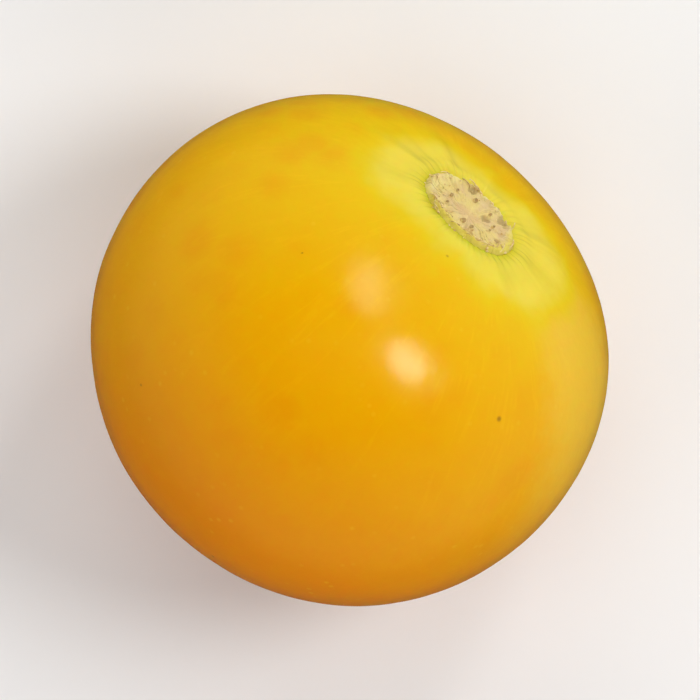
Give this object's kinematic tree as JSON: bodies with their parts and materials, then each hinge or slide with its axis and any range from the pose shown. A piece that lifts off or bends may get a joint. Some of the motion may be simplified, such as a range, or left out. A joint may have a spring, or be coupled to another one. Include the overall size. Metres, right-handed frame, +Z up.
{
  "type": "physalis berry",
  "caption": "Ripe golden physalis berry with its husk off: a smooth, slightly flattened round fruit lying on its side, with a corky stem scar in a shallow saucer.",
  "frame": {"origin": "on the surface that the berry rests on, under the middle of its bounding box", "axes": "+Z up; the stem end points up and out over +X and +Y, 55.5 degrees from +Z and 49 degrees round from +X towards +Y"},
  "size_m": [0.0218, 0.0216, 0.0214],
  "materials": {
    "berry_skin": "waxy gloss, golden yellow, slightly translucent",
    "scar_cork": "dry corky matt, beige"
  },
  "bodies": {
    "root": {"physalis_berry": "berry_skin"}
  },
  "joints": []
}
